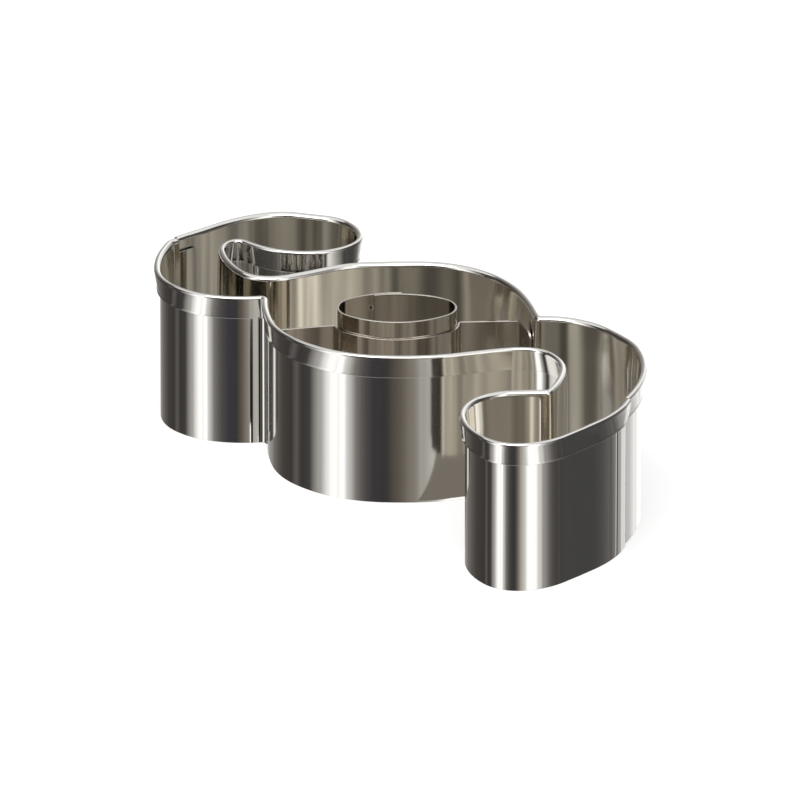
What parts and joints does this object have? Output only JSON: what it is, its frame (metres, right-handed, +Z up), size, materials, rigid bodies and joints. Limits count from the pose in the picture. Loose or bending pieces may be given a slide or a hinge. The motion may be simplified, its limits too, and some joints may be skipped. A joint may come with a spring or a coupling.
{
  "type": "cookie cutter",
  "caption": "Section sign cookie cutter of bright steel strip with a hemmed rim, lapped side joints and an oval inner ring held by a flat strap.",
  "frame": {"origin": "middle of the outline in the plane of the cutting edge", "axes": "+Z up to the hemmed rim, +Y towards the head of the sign, +X to its right seen from above"},
  "size_m": [0.0352, 0.0806, 0.022],
  "materials": {
    "bright_steel": "bright cold-rolled stainless strip, near mirror, with faint roll lines"
  },
  "bodies": {
    "root": {"right_wall_strip": "bright_steel", "left_wall_strip": "bright_steel", "centre_ring": "bright_steel", "ring_strap": "bright_steel"}
  },
  "joints": []
}
